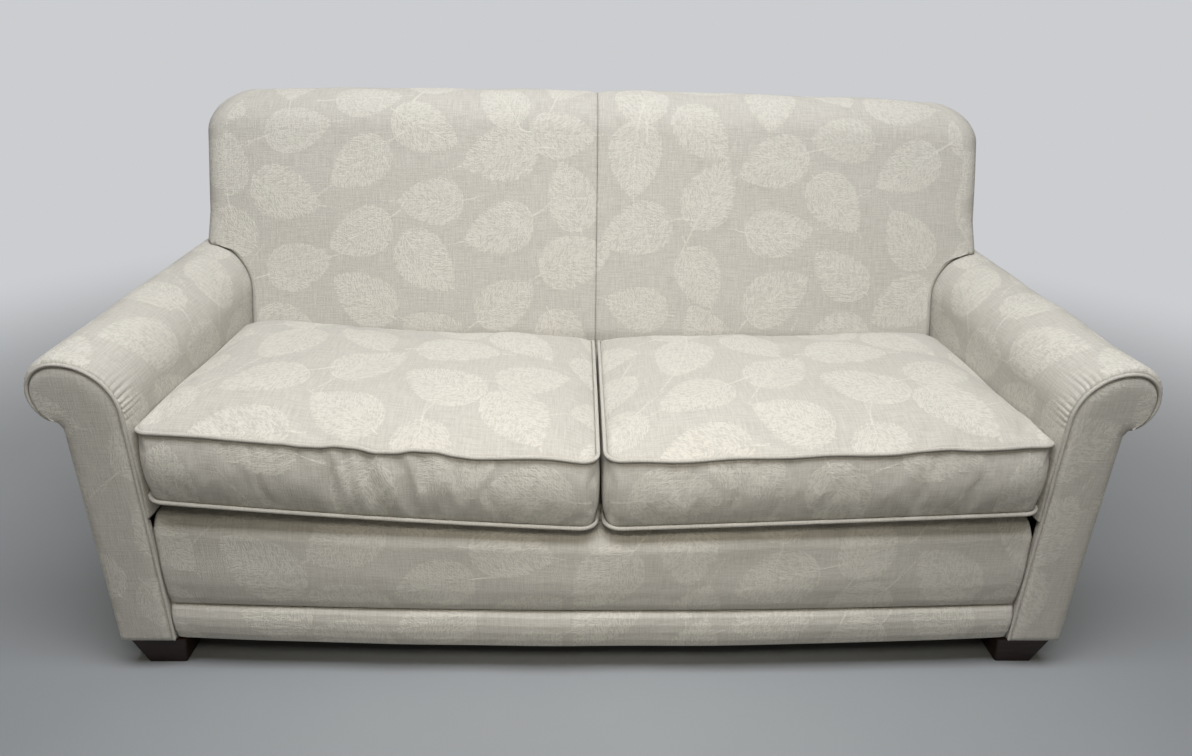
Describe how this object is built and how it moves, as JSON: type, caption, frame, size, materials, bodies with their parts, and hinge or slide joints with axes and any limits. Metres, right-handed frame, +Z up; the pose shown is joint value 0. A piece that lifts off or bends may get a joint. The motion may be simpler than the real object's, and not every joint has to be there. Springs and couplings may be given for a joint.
{
  "type": "loveseat",
  "caption": "Upholstered loveseat with rolled arms, a tight seamed back, loose welted seat cushions and tapered block feet, for seating two people.",
  "frame": {"origin": "on the floor under the middle of the sofa's footprint", "axes": "+X to the right of someone facing the sofa, +Y from the front towards the back, +Z up"},
  "size_m": [1.788, 0.8372, 0.94],
  "materials": {
    "upholstery": "matte",
    "welting": "matte",
    "foam": "matte",
    "deck_cloth": "matte",
    "dust_cloth": "matte",
    "webbing": "matte",
    "zip_tape": "matte",
    "zip_metal": "satin",
    "steel": "satin",
    "foot_wood": "satin",
    "frame_wood": "matte"
  },
  "bodies": {
    "sofa": {"arm_cover_left": "upholstery", "arm_cover_right": "upholstery", "arm_front_panel_left": "upholstery", "arm_front_panel_right": "upholstery", "arm_front_post_left": "frame_wood", "arm_front_post_right": "frame_wood", "arm_front_welt_left": "welting", "arm_front_welt_right": "welting", "arm_pad_left": "foam", "arm_pad_right": "foam", "arm_roll_rail_left": "frame_wood", "arm_roll_rail_right": "frame_wood", "arm_tack_rail_left": "frame_wood", "arm_tack_rail_right": "frame_wood", "arm_top_rail_left": "frame_wood", "arm_top_rail_right": "frame_wood", "back_base_rail": "frame_wood", "back_centre_post": "frame_wood", "back_pad": "foam", "back_post_left": "frame_wood", "back_post_right": "frame_wood", "back_tack_rail": "frame_wood", "back_top_rail": "frame_wood", "back_webbing": "webbing", "centre_stretcher": "frame_wood", "corner_blocks": "frame_wood", "deck_cover": "deck_cloth", "deck_pad": "foam", "dust_cover": "dust_cloth", "foot_bolts": "steel", "foot_front_left": "foot_wood", "foot_front_right": "foot_wood", "foot_nuts": "steel", "foot_rear_left": "foot_wood", "foot_rear_right": "foot_wood", "front_band": "upholstery", "front_border": "upholstery", "front_rail": "frame_wood", "inside_back_left": "upholstery", "inside_back_right": "upholstery", "outside_arm_panel_left": "upholstery", "outside_arm_panel_right": "upholstery", "outside_back": "upholstery", "rear_rail": "frame_wood", "seat_springs": "steel", "side_rail_left": "frame_wood", "side_rail_right": "frame_wood", "spring_clips": "steel"},
    "cushion_left": {"seat_cushion_core_left": "foam", "seat_cushion_cover_left": "upholstery", "cushion_welts_left": "welting", "cushion_zip_left": "zip_tape"},
    "slider_left": {"zip_slider_left": "zip_metal"},
    "cushion_right": {"seat_cushion_core_right": "foam", "seat_cushion_cover_right": "upholstery", "cushion_welts_right": "welting", "cushion_zip_right": "zip_tape"},
    "slider_right": {"zip_slider_right": "zip_metal"}
  },
  "joints": [
    {"name": "cushion_left_lift", "type": "slide", "parent": "sofa", "child": "cushion_left", "axis": [0, 0, 1], "range_m": [0, 0.65]},
    {"name": "cushion_right_lift", "type": "slide", "parent": "sofa", "child": "cushion_right", "axis": [0, 0, 1], "range_m": [0, 0.65]},
    {"name": "zip_left_slide", "type": "slide", "parent": "cushion_left", "child": "slider_left", "axis": [0.9991, 0, -0.0417], "range_m": [0, 0.516]},
    {"name": "zip_right_slide", "type": "slide", "parent": "cushion_right", "child": "slider_right", "axis": [-0.9991, 0, -0.0417], "range_m": [0, 0.516]}
  ]
}
